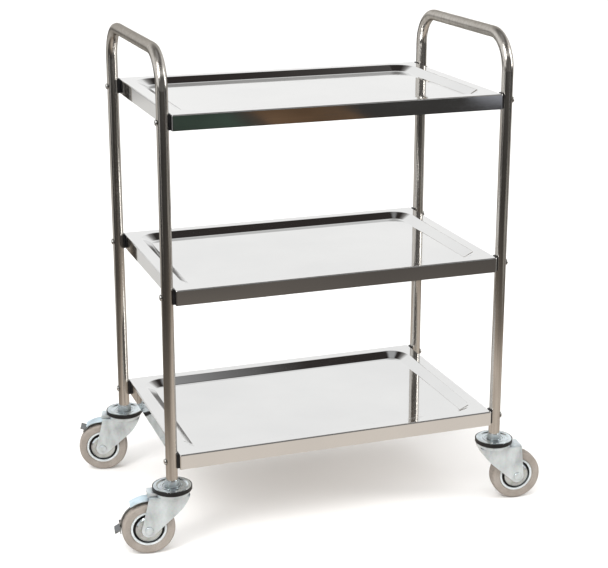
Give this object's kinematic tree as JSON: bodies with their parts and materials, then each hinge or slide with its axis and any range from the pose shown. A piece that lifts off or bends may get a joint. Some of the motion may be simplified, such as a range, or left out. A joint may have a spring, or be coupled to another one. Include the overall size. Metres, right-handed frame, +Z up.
{
  "type": "food service trolley",
  "caption": "Three-tier stainless steel food service trolley: dished trays bolted between bent tube end frames on swivel casters, the left pair with foot brakes.",
  "frame": {"origin": "on the floor under the middle of the tray stack, at wheel contact height", "axes": "+X along the length towards the unbraked end, +Y to the back, +Z up"},
  "size_m": [0.8803, 0.4875, 0.9581],
  "materials": {
    "tube_steel": "polished stainless tube",
    "tray_steel": "mirror polished stainless sheet",
    "black_plastic": "satin black",
    "fastener_steel": "bright zinc",
    "insert_zinc": "bright zinc",
    "zinc_plate": "bright zinc plate",
    "blue_zinc": "blue passivated zinc",
    "lever_steel": "dark zinc plate",
    "seal_plastic": "black",
    "ball_steel": "polished",
    "hub_plastic": "pale grey moulded",
    "tyre_rubber": "warm grey, non-marking"
  },
  "bodies": {
    "frame": {"left_end_frame": "tube_steel", "right_end_frame": "tube_steel", "top_shelf": "tray_steel", "middle_shelf": "tray_steel", "bottom_shelf": "tray_steel", "shelf_saddles": "black_plastic", "shelf_bolts": "fastener_steel", "shelf_washers": "fastener_steel", "shelf_nuts": "fastener_steel", "tube_inserts": "insert_zinc", "front_left_stem": "zinc_plate", "front_left_top_disc": "zinc_plate", "back_left_stem": "zinc_plate", "back_left_top_disc": "zinc_plate", "front_right_stem": "zinc_plate", "front_right_top_disc": "zinc_plate", "back_right_stem": "zinc_plate", "back_right_top_disc": "zinc_plate"},
    "front_left_caster": {"front_left_dust_seal": "seal_plastic", "front_left_swivel_balls": "ball_steel", "front_left_fork": "zinc_plate", "front_left_axle_bolt": "zinc_plate", "front_left_axle_nut": "fastener_steel", "front_left_axle_sleeve": "fastener_steel", "front_left_thread_guards": "zinc_plate", "front_left_brake_strip": "blue_zinc"},
    "front_left_wheel": {"front_left_hub": "hub_plastic", "front_left_tyre": "tyre_rubber"},
    "front_left_brake": {"front_left_brake_lever": "lever_steel"},
    "back_left_caster": {"back_left_dust_seal": "seal_plastic", "back_left_swivel_balls": "ball_steel", "back_left_fork": "zinc_plate", "back_left_axle_bolt": "zinc_plate", "back_left_axle_nut": "fastener_steel", "back_left_axle_sleeve": "fastener_steel", "back_left_thread_guards": "zinc_plate", "back_left_brake_strip": "blue_zinc"},
    "back_left_wheel": {"back_left_hub": "hub_plastic", "back_left_tyre": "tyre_rubber"},
    "back_left_brake": {"back_left_brake_lever": "lever_steel"},
    "front_right_caster": {"front_right_dust_seal": "seal_plastic", "front_right_swivel_balls": "ball_steel", "front_right_fork": "zinc_plate", "front_right_axle_bolt": "zinc_plate", "front_right_axle_nut": "fastener_steel", "front_right_axle_sleeve": "fastener_steel", "front_right_thread_guards": "zinc_plate"},
    "front_right_wheel": {"front_right_hub": "hub_plastic", "front_right_tyre": "tyre_rubber"},
    "back_right_caster": {"back_right_dust_seal": "seal_plastic", "back_right_swivel_balls": "ball_steel", "back_right_fork": "zinc_plate", "back_right_axle_bolt": "zinc_plate", "back_right_axle_nut": "fastener_steel", "back_right_axle_sleeve": "fastener_steel", "back_right_thread_guards": "zinc_plate"},
    "back_right_wheel": {"back_right_hub": "hub_plastic", "back_right_tyre": "tyre_rubber"}
  },
  "joints": [
    {"name": "front_left_swivel", "type": "hinge", "parent": "frame", "child": "front_left_caster", "pos_m": [-0.336, -0.201, 0.12], "axis": [0, 0, 1], "continuous": true},
    {"name": "front_left_wheel_spin", "type": "hinge", "parent": "front_left_caster", "child": "front_left_wheel", "pos_m": [-0.38247, -0.19397, 0.0508], "axis": [-0.1495, -0.9888, 0], "continuous": true},
    {"name": "front_left_brake_lever_tilt", "type": "hinge", "parent": "front_left_caster", "child": "front_left_brake", "pos_m": [-0.38247, -0.19397, 0.0508], "axis": [0.1495, 0.9888, 0], "range_deg": [0, 47]},
    {"name": "back_left_swivel", "type": "hinge", "parent": "frame", "child": "back_left_caster", "pos_m": [-0.336, 0.201, 0.12], "axis": [0, 0, 1], "continuous": true},
    {"name": "back_left_wheel_spin", "type": "hinge", "parent": "back_left_caster", "child": "back_left_wheel", "pos_m": [-0.38109, 0.21427, 0.0508], "axis": [-0.2823, -0.9593, 0], "continuous": true},
    {"name": "back_left_brake_lever_tilt", "type": "hinge", "parent": "back_left_caster", "child": "back_left_brake", "pos_m": [-0.38109, 0.21427, 0.0508], "axis": [0.2823, 0.9593, 0], "range_deg": [-47, 0]},
    {"name": "front_right_swivel", "type": "hinge", "parent": "frame", "child": "front_right_caster", "pos_m": [0.336, -0.201, 0.12], "axis": [0, 0, 1], "continuous": true},
    {"name": "front_right_wheel_spin", "type": "hinge", "parent": "front_right_caster", "child": "front_right_wheel", "pos_m": [0.38269, -0.2064, 0.0508], "axis": [0.1149, 0.9934, 0], "continuous": true},
    {"name": "back_right_swivel", "type": "hinge", "parent": "frame", "child": "back_right_caster", "pos_m": [0.336, 0.201, 0.12], "axis": [0, 0, 1], "continuous": true},
    {"name": "back_right_wheel_spin", "type": "hinge", "parent": "back_right_caster", "child": "back_right_wheel", "pos_m": [0.38254, 0.20754, 0.0508], "axis": [-0.1392, 0.9903, 0], "continuous": true}
  ]
}
